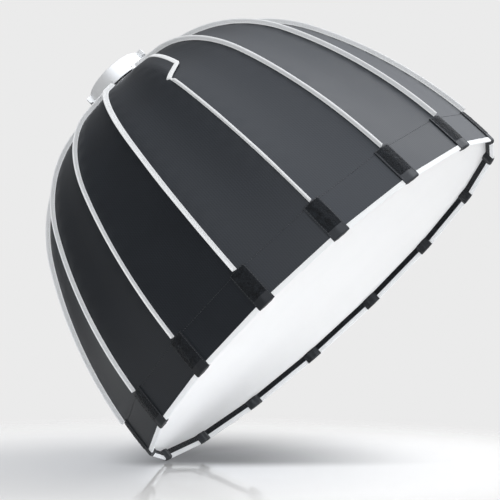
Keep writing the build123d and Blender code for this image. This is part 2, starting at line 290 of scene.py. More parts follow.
def weigh(tree, first, firstShare, second, secondShare):  # two patterns added in shares
    first = addNode(tree, "Math", {0: first, 1: firstShare}, 0, operation="MULTIPLY")
    second = addNode(tree, "Math", {0: second, 1: secondShare}, 0, operation="MULTIPLY")
    return addNode(tree, "Math", {0: first, 1: second}, 0, operation="ADD")


twillLook = {
    "tones": ("#12161b", "#21262d"),
    "twillSpacing": 1.7,  # both spacings are drawn coarse, to show
    "threadSpacing": 3.4,
    "twillShare": 0.3,
    "threadShare": 0.7,
    "patch": 90.0,
    "roughness": (0.46, 0.58),
    "relief": 0.12,
    "strength": 0.35,
}


def coatedTwill():
    # black polyester twill with a thin coating: near black, faint diagonal ribs, a broad soft gloss
    look = twillLook
    material, tree, shader = newMaterial(
        "blackCoatedTwill", Roughness=0.5, Specular_IOR_Level=0.3, Sheen_Weight=0.06, Sheen_Roughness=0.5
    )
    cloth = addNode(tree, "UVMap", output="UV", uv_map="cloth")
    diagonal = {"Vector": cloth, "Scale": waveScale(look["twillSpacing"] * math.sqrt(2)), "Distortion": 0.4}
    twill = addNode(tree, "TexWave", diagonal, "Fac", bands_direction="DIAGONAL")
    straight = {"Vector": cloth, "Scale": waveScale(look["threadSpacing"]), "Distortion": 0.6}
    thread = addNode(tree, "TexWave", straight, "Fac", bands_direction="X")
    thread = addNode(tree, "Math", {0: thread, 1: look["threadShare"]}, 0, operation="MULTIPLY")
    woven = {0: twill, 1: look["twillShare"], 2: thread}
    weave = addNode(tree, "Math", woven, 0, operation="MULTIPLY_ADD")
    clouds = {"Vector": cloth, "Scale": grainScale(look["patch"]), "Detail": 3.0}
    patch = addNode(tree, "TexNoise", clouds, "Fac")
    shade = addNode(tree, "Math", {0: weave, 1: patch}, 0, operation="MULTIPLY")
    layFinish(tree, shader, look, shade, weave, patch)
    return material


silverLook = {
    "tones": ("#b9bdc2", "#dfe2e5"),
    "cell": 6.0,
    "cellShare": 0.25,
    "crinkle": 14.0,
    "relief": 0.3,
    "strength": 0.5,
}


def silverCoating():
    # aluminised coating on the inside of the cloth: bright, a little crinkled, with a fine check
    look = silverLook
    material, tree, shader = newMaterial("silverCoatedLining", Metallic=0.85, Roughness=0.36)
    cloth = addNode(tree, "UVMap", output="UV", uv_map="cloth")
    cells = {"Vector": cloth, "Scale": waveScale(look["cell"])}
    along = addNode(tree, "TexWave", cells, "Fac", bands_direction="X")
    across = addNode(tree, "TexWave", cells, "Fac", bands_direction="Y")
    check = addNode(tree, "Math", {0: along, 1: across}, 0, operation="MAXIMUM")
    folds = {"Vector": cloth, "Scale": grainScale(look["crinkle"]), "Detail": 5.0}
    crinkle = addNode(tree, "TexNoise", folds, "Fac")
    check = addNode(tree, "Math", {0: check, 1: look["cellShare"]}, 0, operation="MULTIPLY")
    height = addNode(tree, "Math", {0: check, 1: crinkle}, 0, operation="ADD")
    layFinish(tree, shader, look, crinkle, height)
    return material


tapeLook = {
    "tones": ("#eaedf0", "#fafbfc"),
    "ribSpacing": 1.6,
    "ribShare": 0.45,
    "soil": 40.0,
    "soilShare": 0.55,
    "relief": 0.2,
    "strength": 0.4,
}


def wovenTape():
    # white grosgrain binding tape: fine ribs across its width, matt, a trace of handling
    look = tapeLook
    material, tree, shader = newMaterial(
        "whiteGrosgrain", Roughness=0.72, Sheen_Weight=0.15, Sheen_Roughness=0.4
    )
    cloth = addNode(tree, "UVMap", output="UV", uv_map="cloth")
    cords = {"Vector": cloth, "Scale": waveScale(look["ribSpacing"]), "Distortion": 0.3}
    ribs = addNode(tree, "TexWave", cords, "Fac", bands_direction="Y")
    clouds = {"Vector": cloth, "Scale": grainScale(look["soil"]), "Detail": 4.0}
    soil = addNode(tree, "TexNoise", clouds, "Fac")
    layFinish(tree, shader, look, weigh(tree, ribs, look["ribShare"], soil, look["soilShare"]), ribs)
    return material


loopLook = {
    "tones": ("#07080a", "#2c3035"),
    "loops": 1.5,
    "loopGlintShare": 0.45,
    "clump": 7.0,
    "relief": 1.0,
    "strength": 0.8,
}


def loopPile():
    # brushed loop tape: matt black nylon loops, with small points of light painted into their colour as
    # glints over random clumps of tone
    look = loopLook
    material, tree, shader = newMaterial(
        "brushedLoopTape", Roughness=0.88, Specular_IOR_Level=0.2, Sheen_Weight=0.14, Sheen_Roughness=0.35
    )
    place = addNode(tree, "TexCoord", output="Object")
    cells = {"Vector": place, "Scale": grainScale(look["loops"])}
    loops = addNode(tree, "TexVoronoi", cells, "Distance")
    tufts = {"Vector": place, "Scale": grainScale(look["clump"]), "Detail": 6.0}
    clump = addNode(tree, "TexNoise", tufts, "Fac")
    # painted glints: the colour is lightest at the middle of each loop's cell, over random clumps of tone
    faint = addNode(tree, "Math", {0: loops, 1: look["loopGlintShare"]}, 0, operation="MULTIPLY")
    spot = addNode(tree, "Math", {0: clump, 1: faint}, 0, operation="SUBTRACT")
    height = addNode(tree, "Math", {0: clump, 1: loops}, 0, operation="SUBTRACT")
    layFinish(tree, shader, look, spot, height)
    return material


nylonLook = {"tones": ("#121417", "#202327"), "ribSpacing": 1.6, "relief": 0.2, "strength": 0.5}


def smoothNylon():
    # the loop tape's bare ground: flat black nylon with a fine rib
    material, tree, shader = newMaterial(
        "nylonTapeGround", Roughness=0.6, Specular_IOR_Level=0.3, Sheen_Weight=0.04
    )
    cloth = addNode(tree, "UVMap", output="UV", uv_map="cloth")
    cords = {"Vector": cloth, "Scale": waveScale(nylonLook["ribSpacing"]), "Distortion": 0.3}
    ribs = addNode(tree, "TexWave", cords, "Fac", bands_direction="X")
    layFinish(tree, shader, nylonLook, ribs, ribs)
    return material


diffusionLook = {
    "tones": ("#f3f4f5", "#fcfcfc"),
    "thread": 1.4,
    "weaveShare": 0.4,
    "billowShade": 120.0,
    "paintedShadeShare": 0.6,
    "relief": 0.12,
    "strength": 0.25,
}


def diffusionCloth():
    # white nylon diffusion cloth: very even, matt, with a hair-fine plain weave and soft patches of painted
    # shade where the cloth would billow
    look = diffusionLook
    material, tree, shader = newMaterial("whiteDiffusionCloth", Roughness=0.85, Sheen_Weight=0.2)
    place = addNode(tree, "TexCoord", output="Object")
    threads = {"Vector": place, "Scale": waveScale(look["thread"])}
    weft = addNode(tree, "TexWave", threads, "Fac", bands_direction="X")
    warp = addNode(tree, "TexWave", threads, "Fac", bands_direction="Z")
    weave = addNode(tree, "Math", {0: weft, 1: warp}, 0, operation="MULTIPLY")
    # painted shade: large soft patches, lighter and darker at random, as a gently billowing cloth would show
    clouds = {"Vector": place, "Scale": grainScale(look["billowShade"]), "Detail": 3.0}
    billowShade = addNode(tree, "TexNoise", clouds, "Fac")
    shade = weigh(tree, weave, look["weaveShare"], billowShade, look["paintedShadeShare"])
    layFinish(tree, shader, look, shade, weave)
    return material


threadLook = {"twist": 1.2, "grain": 2.0}


def sewingThread(name, *tones):
    # spun polyester thread: soft gloss, a twist that shows as small shade changes
    material, tree, shader = newMaterial(name, Roughness=0.55, Sheen_Weight=0.1)
    place = addNode(tree, "TexCoord", output="Object")
    twist = {"Vector": place, "Scale": grainScale(threadLook["twist"]), "Detail": threadLook["grain"]}
    layFinish(tree, shader, {"tones": tones}, addNode(tree, "TexNoise", twist, "Fac"))
    return material


elasticLook = {"tones": ("#0d0e10", "#26282b"), "grain": 1.5, "relief": 0.4, "strength": 0.5}


def ribbedElastic():
    # knitted elastic: black, with a fine uneven knit
    look = elasticLook
    material, tree, shader = newMaterial("knittedElastic", Roughness=0.8, Sheen_Weight=0.2)
    place = addNode(tree, "TexCoord", output="Object")
    knit = {"Vector": place, "Scale": grainScale(look["grain"]), "Detail": 4.0}
    grain = addNode(tree, "TexNoise", knit, "Fac")
    layFinish(tree, shader, look, grain, grain)
    return material


wearSize = 16.0  # handling marks on the castings and the ring

turnedLook = {
    "tones": ("#e4e6e8", "#f0f1f2"),
    "lines": 0.9,
    "roughness": (0.38, 0.48),
    "relief": 0.03,
    "strength": 0.35,
}


def turnedAlloy():
    # blasted and clear-anodised aluminium: nearly white, satin, with fine turned rings
    look = turnedLook
    material, tree, shader = newMaterial("brightAnodisedAluminium", Metallic=0.25, Roughness=0.42)
    place = addNode(tree, "TexCoord", output="Object")
    turned = {"Vector": place, "Scale": waveScale(look["lines"]), "Distortion": 0.2}
    rings = addNode(tree, "TexWave", turned, "Fac", bands_direction="Y")
    marks = {"Vector": place, "Scale": grainScale(wearSize), "Detail": 5.0}
    wear = addNode(tree, "TexNoise", marks, "Fac")
    layFinish(tree, shader, look, wear, rings, wear)
    return material


castLook = {"grain": 1.4, "relief": 0.12, "strength": 0.5}


def castAlloy(name, roughness, *tones):
    # shot-blasted die casting: satin grey with a fine open grain
    look = {"tones": tones, **castLook}
    material, tree, shader = newMaterial(name, Metallic=1.0, Roughness=roughness)
    place = addNode(tree, "TexCoord", output="Object")
    pores = {"Vector": place, "Scale": grainScale(look["grain"]), "Detail": 4.0}
    grain = addNode(tree, "TexNoise", pores, "Fac")
    marks = {"Vector": place, "Scale": grainScale(wearSize), "Detail": 3.0}
    wear = addNode(tree, "TexNoise", marks, "Fac")
    layFinish(tree, shader, look, wear, grain)
    return material


steelLook = {
    "tones": ("#8b8e92", "#b9bbbe"),
    "wear": 22.0,
    "grain": 0.8,
    "roughness": (0.26, 0.42),
    "relief": 0.05,
    "strength": 0.3,
}


def drawnSteel():
    # drawn spring steel rod: grey, with a fine grain and a trace of oil darkening
    look = steelLook
    material, tree, shader = newMaterial("drawnSpringSteel", Metallic=1.0, Roughness=0.33)
    place = addNode(tree, "TexCoord", output="Object")
    marks = {"Vector": place, "Scale": grainScale(look["wear"]), "Detail": 5.0}
    wear = addNode(tree, "TexNoise", marks, "Fac")
    fine = {"Vector": place, "Scale": grainScale(look["grain"]), "Detail": 3.0}
    grain = addNode(tree, "TexNoise", fine, "Fac")
    layFinish(tree, shader, look, wear, grain, wear)
    return material


finishes = {
    "twill": coatedTwill(),
    "silver": silverCoating(),
    "whiteTape": wovenTape(),
    "loop": loopPile(),
    "nylon": smoothNylon(),
    "diffuser": diffusionCloth(),
    "whiteThread": sewingThread("whiteThread", "#d5d8da", "#f4f5f5"),
    "blackThread": sewingThread("blackThread", "#101113", "#2c2f32"),
    "elastic": ribbedElastic(),
    "bright": turnedAlloy(),
    "cast": castAlloy("blastedCasting", 0.48, "#5d6064", "#7a7d81"),
    "spring": drawnSteel(),
    "zinc": castAlloy("zincPlatedSteel", 0.3, "#a5a8ac", "#c6c8cb"),
}


def dress(piece, *names):
    piece.data.materials.clear()
    for name in names:
        piece.data.materials.append(finishes[name])


def thickSheet(name, rows, flip, thickness, smooth, *names, offset=0, **settings):  # cloth or tape
    sheet = gridPiece(name, rows, flip=flip)
    dress(sheet, *names)
    applyModifier(sheet, "SOLIDIFY", thickness=thickness / 1000, offset=offset, **settings)
    smoothBelow(sheet, smooth)
    return sheet


def dressNode(node, name):
    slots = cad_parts[node].material_slots
    for slot in slots:
        slot.material = finishes[name]
    if not slots:
        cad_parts[node].data.materials.append(finishes[name])


for number in range(dome["ribs"]):
    dressNode(f"rib_{number:02d}", "spring")
metalNodes = {
    "hub_ring": "cast",
    "bayonet_ring": "bright",
    "retaining_plate": "cast",
    "plate_screws": "zinc",
    "hinge_pins": "zinc",
}
for node, finish in metalNodes.items():
    dressNode(node, finish)
print("materials made")

# Stitches: one short thread per stitch, along a path of (point, outward) in the shared frame

stitchSizes = {
    "length": 3.0,
    "gap": 1.3,
    "radius": 0.38,
    "sides": 5,
    # rings from end to end: place along the stitch, share of the radius, height in radii
    "rings": ((-0.5, 0.3, -0.4), (-0.25, 0.95, 0.25), (0.25, 0.95, 0.25), (0.5, 0.3, -0.4)),
}


def stitchRow(name, path, finish):
    pitchLength = (stitchSizes["length"] + stitchSizes["gap"]) / 1000
    radius = stitchSizes["radius"] / 1000
    sides = stitchSizes["sides"]
    turns = [2 * math.pi * i / sides for i in range(sides)]
    threads = bmesh.new()
    walked = 0.0
    nextAt = pitchLength / 2
    for (start, outward), (end, unused) in zip(path, path[1:]):
        span = end - start
        while nextAt <= walked + span.length:
            along = span.normalized()
            up = (outward - along * outward.dot(along)).normalized()
            side = along.cross(up)
            middle = start + along * (nextAt - walked)
            loops = []
            for place, thickness, rise in stitchSizes["rings"]:
                centre = middle + along * (place * stitchSizes["length"] / 1000) + up * (rise * radius)
                loops.append([
                    threads.verts.new(
                        centre + (side * math.cos(t) + up * math.sin(t)) * radius * thickness
                    )
                    for t in turns
                ])
            for a, b in zip(loops, loops[1:]):
                for i in range(sides):
                    threads.faces.new((a[i], a[(i + 1) % sides], b[(i + 1) % sides], b[i]))
            threads.faces.new(loops[0])
            threads.faces.new(loops[-1])
            nextAt += pitchLength
        walked += span.length
    bmesh.ops.recalc_face_normals(threads, faces=threads.faces)
    for face in threads.faces:
        face.smooth = True
    piece = pieceFrom(name, threads)
    dress(piece, finish)
    return piece


# Gores: each is two half panels that meet along the middle, one on each rib's arm. Under them lie a pleat
# and a lining, from a little behind the rim to the neck.

goreSizes = {
    "rows": 96,
    "columns": 10,
    "sag": 2.4,             # how far the cloth lies inside the straight line between two ribs
    "sagStart": (20, 200),  # runs over which the sag sets in
    "sagEnd": (0, 120),     # distances from the neck over which it dies out
    "pucker": 0.45,         # small tension waves beside the seam
    "puckerLength": 31.0,
    "puckerSlant": 0.06,
    "puckerStart": (75, 150),
    "puckerEnd": (10, 60),
    "puckerIn": (0.55, 0.92),  # shares of the half width between which the waves grow
    "puckerOut": (0.96, 1.0),
    "seamClearance": 0.1,
    "hemRun": 60.0,         # stitch line of the hem, at the tops of the pockets
    "hemStep": 0.35,
    "hemEase": 3,
    "hemSetBack": 2,
    "hemEnd": 16,           # the hem's stitches stop this far from the rib
    "gather": 0.7,          # pleats where the elastic draws the cloth in
    "gatherRun": 26.0,
    "gatherOut": (0.9, 1.0),
    "gatherFolds": 3,
    "layer": 0.6,
    "liningLayer": 0.5,
    "liningGap": 0.05,
    "liningReach": 306.0,   # distances from the axis at which the lining and the pleat begin
    "pleatReach": 340.0,
    "slit": 14.0,
    "slitRun": 372.0,
    "slitEase": 8,
    "smooth": 35.0,
}


def panelHalfWidth(run):  # from a panel's middle to the rib
    return outlineState(run)[0] * squeeze * slope


def gorePoint(run, across, lift=0.0):  # across is measured from the panel's middle
    sizes = goreSizes
    toNeck = neckRun - run
    share = min(abs(across) / panelHalfWidth(run), 1.0)
    sagHere = sizes["sag"] * smoothStep(run, *sizes["sagStart"]) * smoothStep(toNeck, *sizes["sagEnd"])
    lift -= sagHere * (1 - share * share) ** 2
    wave = math.sin(2 * math.pi * run / sizes["puckerLength"] + across * sizes["puckerSlant"])
    nearSeam = smoothStep(share, *sizes["puckerIn"]) * (1 - smoothStep(share, *sizes["puckerOut"]))
    length = smoothStep(run, *sizes["puckerStart"])
    lift += sizes["pucker"] * wave * nearSeam * length * smoothStep(toNeck, *sizes["puckerEnd"])
    drawnIn = smoothStep(run, neckRun - sizes["gatherRun"], neckRun)
    fold = drawnIn * (1 - smoothStep(share, *sizes["gatherOut"]))
    lift += sizes["gather"] * fold * (math.cos(share * sizes["gatherFolds"] * math.pi) - 1) / 2
    hemEnd = sizes["hemRun"] + sizes["hemEase"]
    lift += sizes["hemStep"] * (1 - smoothStep(run, sizes["hemRun"], hemEnd)) / 2
    x, z = outlinePoint(run, lift, squeeze)
    return toRow(x, across, z)


def halfWidth(run, slit):  # from a panel's middle to its edge
    half = panelHalfWidth(run) - goreSizes["seamClearance"]
    slitStart = goreSizes["slitRun"]
    return half - min(slit, half / 2) * smoothStep(run, slitStart, slitStart + goreSizes["slitEase"])


def halfRows(runs, side, slit, lift=0.0):
    def acrossAt(run):
        return [side * across for across in spread(0, halfWidth(run, slit), goreSizes["columns"])]

    return clothRows(runs, acrossAt, lambda run, across: gorePoint(run, across, lift))


def makeGoreHalf(side, slit=0.0):  # a slit beside the rib lies under the access flap
    sizes = goreSizes
    rows = halfRows(spread(0, neckRun, sizes["rows"]), side, slit)
    half = thickSheet(
        "goreHalf", rows, side < 0, sizes["layer"], sizes["smooth"], "twill", "silver",
        offset=-1, material_offset=1, use_even_offset=True,
    )
    hem = []
    stitchRun = sizes["hemRun"] - sizes["hemSetBack"]
    for across in spread(1.5, panelHalfWidth(sizes["hemRun"]) - sizes["hemEnd"], 12):
        point = gorePoint(stitchRun, side * across, 0.1)
        inner = gorePoint(stitchRun, side * across, -1.0)
        hem.append((point, (point - inner).normalized()))
    return joined(half, stitchRow("hemStitches", hem, "blackThread"))


def makeLiningHalf(side, start, end, slit=0.0):
    sizes = goreSizes
    runs = spread(start, end, sizes["rows"] // 2)
    rows = halfRows(runs, side, slit, -sizes["layer"] - sizes["liningGap"])
    return thickSheet(
        "liningHalf", rows, side < 0, sizes["liningLayer"], sizes["smooth"], "twill", "silver",
        offset=-1, material_offset=1,
    )


def halfFlatArea(start, end, slit=0.0):  # square metres of half a panel between two runs, cut flat
    steps = 200
    length = end - start
    widths = [halfWidth(start + length * (i + 0.5) / steps, slit) for i in range(steps)]
    return (sum(widths) / steps + goreSizes["seamClearance"]) * length / 1e6


slitRib = 13
rimHalfWidth = dome["rimRadius"] * math.sin(halfPitch)
liningStart = runAtRadius(goreSizes["liningReach"])
liningRuns = {  # both begin further in from the rim than the panel over them, the lining furthest
    "pleat": (runAtRadius(goreSizes["pleatReach"]), liningStart - dome["layGap"]),
    "lining": (liningStart, neckRun - 1),
}
goreHalves = {-1: makeGoreHalf(-1), 1: makeGoreHalf(1), 0: makeGoreHalf(-1, goreSizes["slit"])}
linings = {
    (kind, pattern): makeLiningHalf(pattern or -1, start, end, 0.0 if pattern else goreSizes["slit"])
    for kind, (start, end) in liningRuns.items()
    for pattern in (-1, 1, 0)
}
for number, side, letter, arm, middle in panelHalves():
    pattern = 0 if side < 0 and number == slitRib else side
    slit = 0.0 if pattern else goreSizes["slit"]
    half = turnedCopy(goreHalves[pattern], f"gore_{number:02d}_{letter}", middle)
    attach(half, f"arm_{arm:02d}")
    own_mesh(half)
    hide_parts(f"gore_{number:02d}")
    flat = (rimHalfWidth / 1000, neckRun / 1000)
    halfFlatArea(0, neckRun, slit)
    for kind, (start, end) in liningRuns.items():
        under = turnedCopy(linings[kind, pattern], f"gore_{number:02d}_{letter}_{kind}", middle)
        flat = (panelHalfWidth(start) / 1000, (end - start) / 1000)
        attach(under, f"arm_{arm:02d}")
        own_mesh(under)
        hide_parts(f"gore_{number:02d}")
        halfFlatArea(start, end, slit)
discard(*goreHalves.values(), *linings.values())
print("gores made")

# Bound seams that stand up over the ribs

finSizes = {
    "height": 7.2,
    "base": 1.35,        # half widths
    "waist": 1.05,
    "bead": 1.4,
    "wobble": 0.35,
    "lean": {12: -3.6, 13: 0.8, 10: 0.9, 5: 1.4, 2: -1.2},  # how far the crest of some seams lies over
    "wobbleLength": 83.0,
    "step": 4.5,
    "stitchLift": 2.6,
    "endTaper": 14.0,
    "smooth": 60.0,
}
pocketSizes = {
    "width": 28.0,
    "length": 61.0,
    "tape": 1.5,
    "innerRun": 13.4,
    "innerLift": -9.1,
    "sideShare": 0.65,   # how much of the inner leg's depth is lost at its sides
    "bulge": 0.035,
    "bend": 1.6,
    "soleRun": -1.25,
    "selvedge": 2.4,
    "smoothRun": 12.0,   # bare ground where the tape turns over the rim
    "pile": 0.75,
    "clumpScale": 0.55,
    "loopScale": 1.3,
    "mesh": 1.15,
    "ridge": 2.0,        # rounding of the tape over the rib
    "stitchInset": 1.3,
}


def finPoint(run, across, lift, number):
    x, z = outlinePoint(run, lift + dome["layGap"])
    wobble = finSizes["wobble"] * noise.noise(Vector((run / finSizes["wobbleLength"], 3.7 * number, 0.3)))
    lean = finSizes["lean"].get(number, 0.0) + 2 * wobble
    return toRow(x, across + lean * lift / finSizes["height"], z)


def finSection():  # half of the folded tape's section, from its foot to the crest: across, lift
    top = finSizes["height"]
    return [
        (finSizes["base"], 0.0),
        (finSizes["waist"], 1.2),
        (finSizes["waist"], top - 3.4),
        (finSizes["bead"], top - 2.6),
        (finSizes["bead"], top - 1.0),
        (finSizes["bead"] * 0.8, top - 0.3),
        (finSizes["bead"] * 0.3, top),
        (0.0, top - 0.45),
    ]


def makeFin(name, start, end, number):
    right = finSection()
    section = right + [(-across, lift) for across, lift in reversed(right[:-1])]
    girth = 2 * finSizes["height"] / 1000
    rows = []
    for run in spread(start, end, round((end - start) / finSizes["step"])):
        row = []
        low = smoothStep(end - run, 0, finSizes["endTaper"]) if number == flapSizes["rib"] else 1.0
        for index, (across, lift) in enumerate(section):
            lift *= max(low, 0.2)
            row.append((finPoint(run, across, lift, number), girth * index / len(section), run / 1000))
        rows.append(row)
    fin = gridPiece(name, rows, girth=girth, caps=True)
    dress(fin, "whiteTape")
    smoothBelow(fin, finSizes["smooth"])
    threads = []
    for side in (-1, 1):
        path = []
        for run in spread(start + 1, end - finSizes["endTaper"], 60):
            point = finPoint(run, side * finSizes["waist"], finSizes["stitchLift"], number)
            path.append((point, Vector((side, 0, 0))))
        threads.append(stitchRow("finStitches", path, "whiteThread"))
    return joined(fin, *threads)


flapSizes = {
    "rib": 13,
    "width": 32.0,
    "innerEnd": 244.0,
    "outerEnd": 230.0,
    "margin": 2.5,
    "corner": 3.0,
    "rounding": 12.0,    # how far from the rib the cloth still curves over the ridge
    "thickness": 1.2,
    "tapeWidth": 7.0,
    "tapeThickness": 0.8,
    "tapeTip": 0.995,    # shares of the width where the tape turns the corner
    "tapeBend": 0.88,
    "stitchInset": 0.82,
    "rows": 60,
    "columns": 20,
    "stiffStart": 0.0,
    "stiffEnd": 13.0,
}
finStart = pocketSizes["length"] + dome["layGap"]
flapFinEnd = runAtRadius(flapSizes["innerEnd"] / squeeze) - dome["layGap"]


# Tip pockets of loop tape, from the tops down, over the rim and up inside

def pocketPath():  # run and lift of the tape's middle, with the length walked
    bend, sole = pocketSizes["bend"], pocketSizes["soleRun"]
    outer = dome["layGap"] + pocketSizes["tape"] / 2
    points = [(run, outer) for run in spread(pocketSizes["length"], sole + bend, 58)]
    turns = spread(0, math.pi / 2, 4)
    points += [(sole + bend - bend * math.sin(t), outer - bend + bend * math.cos(t)) for t in turns[1:]]
    inner = pocketSizes["innerLift"]
    points += [(sole, lift) for lift in spread(outer - bend, inner + bend, 5)[1:]]
    points += [(sole + bend - bend * math.cos(t), inner + bend - bend * math.sin(t)) for t in turns[1:]]
    points += [(run, inner) for run in spread(sole + bend, pocketSizes["innerRun"], 12)[1:]]
    return points


def pocketDrop(across):  # how far the tape falls away beside the rib
    ridge = pocketSizes["ridge"]
    return (math.hypot(across, ridge) - ridge) * slope


def makePocket(name, seed):
    half = pocketSizes["width"] / 2
    columns = round(pocketSizes["width"] / pocketSizes["mesh"])
    walked = 0.0
    path = pocketPath()
    rows = []
    for index, (run, lift) in enumerate(path):
        if index:
            walked += math.hypot(run - path[index - 1][0], lift - path[index - 1][1])
        row = []
        belly = math.sin(math.pi * smoothStep(run, 0, pocketSizes["length"]))
        swell = 1 + pocketSizes["bulge"] * (belly - 0.3)
        for part in spread(-1.0, 1.0, columns):
            across = part * half * swell
            drop = pocketDrop(across)
            fromEdge = min(half * (1 - abs(part)), pocketSizes["length"] - run + 0.4)
            atSide = pocketSizes["sideShare"] * smoothStep(abs(part), 0.3, 1.0) if lift < 0 else 0.0
            pile = smoothStep(fromEdge, pocketSizes["selvedge"] * 0.6, pocketSizes["selvedge"] * 1.3)
            pile *= smoothStep(run, pocketSizes["smoothRun"] - 1, pocketSizes["smoothRun"] + 1.5)
            spot = Vector((across, run, seed))
            fuzz = noise.noise(spot * pocketSizes["clumpScale"])
            fuzz += noise.noise(spot * pocketSizes["loopScale"])
            x, z = outlinePoint(run, lift * (1 - atSide) + pile * pocketSizes["pile"] * (0.6 + 0.7 * fuzz))
            row.append((toRow(x - drop, across, z), across / 1000, walked / 1000))
        rows.append(row)
    pocket = gridPiece(name, rows, flip=True)
    dress(pocket, "loop", "nylon", "blackThread")
    for face in pocket.data.polygons:
        row = face.index // columns
        column = face.index % columns
        border = min(column, columns - 1 - column) * pocketSizes["mesh"] < pocketSizes["selvedge"] - 0.6
        if border or path[row][0] < pocketSizes["smoothRun"] or row == 0:
            face.material_index = 1
    applyModifier(pocket, "SOLIDIFY", thickness=pocketSizes["tape"] / 1000, offset=0)
    smoothBelow(pocket, finSizes["smooth"])
    inset = pocketSizes["stitchInset"]
    corners = []
    for run in spread(3, pocketSizes["length"] - inset, 16):
        corners.append((run, half - inset))
    for across in spread(half - inset, inset - half, 10)[1:]:
        corners.append((pocketSizes["length"] - inset, across))
    for run in spread(pocketSizes["length"] - inset, 3, 16)[1:]:
        corners.append((run, inset - half))
    stitches = []
    for run, across in corners:
        x, z = outlinePoint(run, dome["layGap"] + pocketSizes["tape"])
        outward = Vector((math.copysign(0.2, across), 0.2, 1))
        stitches.append((toRow(x - pocketDrop(across), across, z), outward))
    return joined(pocket, stitchRow("pocketStitches", stitches, "blackThread"))


for number in range(dome["ribs"]):
    finEnd = flapFinEnd if number == flapSizes["rib"] else finEndRun
    fin = makeFin("seamFin", finStart, finEnd, number)
    pocket = makePocket("tipPocket", 11.3 * number)
    for piece, name, slotName in ((fin, "seam_fin", "white_binding"), (pocket, "tip_pocket", "loop_tape")):
        copied = turnedCopy(piece, f"{name}_{number:02d}", ribAngle(number))
        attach(copied, f"arm_{number:02d}")
        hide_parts(f"rib_seam_{number:02d}")
    discard(fin, pocket)
print("bound seams and pockets made")

# Rim binding and the loop tape inside the lip, each in halves that go with the panels

bindingSizes = {
    "outerRun": 5.2,
    "innerRun": 4.8,
    "thickness": 1.0,
    "lowRun": -0.25,
    "columns": 18,
    "ripple": 0.18,
    "rippleTurn": 0.21,
    "rippleRun": (1, 5),
    "stitchRun": 3.9,
    "smooth": 40.0,
}
lipTapeSizes = {
    "start": 5.3,
    "width": 8.0,
    "thickness": 1.1,
    "columns": 44,
    "pile": 0.5,
    "pileScale": 0.8,
    "pileEdge": (0.3, 1.4),
}
tapeEnd = rimHalfWidth - pocketSizes["width"] / 2 - dome["layGap"]


def bindingPath():
    outer = dome["layGap"] + bindingSizes["thickness"] / 2
    inner = -dome["fabric"] - outer
    centre, radius = (outer + inner) / 2, (outer - inner) / 2
    low = bindingSizes["lowRun"]
    points = [(run, inner) for run in spread(bindingSizes["innerRun"], low, 4)]
    points += [(low - radius * math.sin(t), centre - radius * math.cos(t)) for t in spread(0, math.pi, 8)[1:]]
    points += [(run, outer) for run in spread(low, bindingSizes["outerRun"], 5)[1:]]
    return points


def makeBindingHalf(side):
    rows = []
    for index, (run, lift) in enumerate(bindingPath()):
        row = []
        for across in spread(0, tapeEnd, bindingSizes["columns"]):
            ripple = bindingSizes["ripple"] * math.sin(across * bindingSizes["rippleTurn"])
            ripple *= smoothStep(run, *bindingSizes["rippleRun"])
            x, z = outlinePoint(run, lift + ripple, squeeze)
            row.append((toRow(x, side * across, z), index / 1000, side * across / 1000))
        rows.append(row)
    half = thickSheet(
        "bindingHalf", rows, side > 0, bindingSizes["thickness"], bindingSizes["smooth"], "whiteTape"
    )
    path = []
    for across in spread(1, tapeEnd - 1, 10):
        x, z = outlinePoint(bindingSizes["stitchRun"], dome["layGap"] + bindingSizes["thickness"], squeeze)
        path.append((toRow(x, side * across, z), Vector((0, 0, 1))))
    return joined(half, stitchRow("bindingStitches", path, "whiteThread"))


def makeLipTapeHalf(side):
    sizes = lipTapeSizes
    start, end = sizes["start"], sizes["start"] + sizes["width"]
    low = -dome["fabric"] - dome["layGap"] - sizes["thickness"] / 2

    def tapePoint(run, across):
        fuzz = 0.5 + noise.noise(Vector((abs(across), run, 40.0 * side)) * sizes["pileScale"])
        edge = min(run - start, end - run)
        lift = low - sizes["pile"] * fuzz * smoothStep(edge, *sizes["pileEdge"])
        x, z = outlinePoint(run, lift, squeeze)
        return toRow(x, across, z)

    acrosses = [side * across for across in spread(0, tapeEnd, sizes["columns"])]
    rows = clothRows(spread(start, end, 8), lambda run: acrosses, tapePoint)
    return thickSheet("lipTapeHalf", rows, side < 0, sizes["thickness"], bindingSizes["smooth"], "loop")


trims = (
    (makeBindingHalf, "rim_binding", "white_binding"),
    (makeLipTapeHalf, "front_loop_tape", "loop_tape"),
)
for makeHalf, node, slotName in trims:
    halves = {-1: makeHalf(-1), 1: makeHalf(1)}
    for number, side, letter, arm, middle in panelHalves():
        half = turnedCopy(halves[side], f"{node}_{number:02d}_{letter}", middle)
        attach(half, f"arm_{arm:02d}")
        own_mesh(half)
        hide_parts(node)
    discard(*halves.values())
print("rim tapes made")

# Diffuser: thirty-two half sectors of one flat cloth, carried by the diffuser's body

diffuserSizes = {
    "thickness": 0.8,
    "inset": 0.1,
    "rows": 30,
    "columns": 6,
    "notch": 3.4,
    "stitchInset": 4.0,
    "hemStart": 15.4,
    "hemWidth": 20.0,
    "hemThickness": 1.1,
    "hemEnd": 11.2,      # the hem stops this far from the rib
    "edgeGap": 0.2,
    "foldTilt": 15.0,
}


def diffuserEdge():  # distance of the straight edge from the axis
    inside = outlinePoint(dome["diffuserRecess"], -dome["fabric"] - dome["layGap"], squeeze)[0]
    return inside - diffuserSizes["edgeGap"]


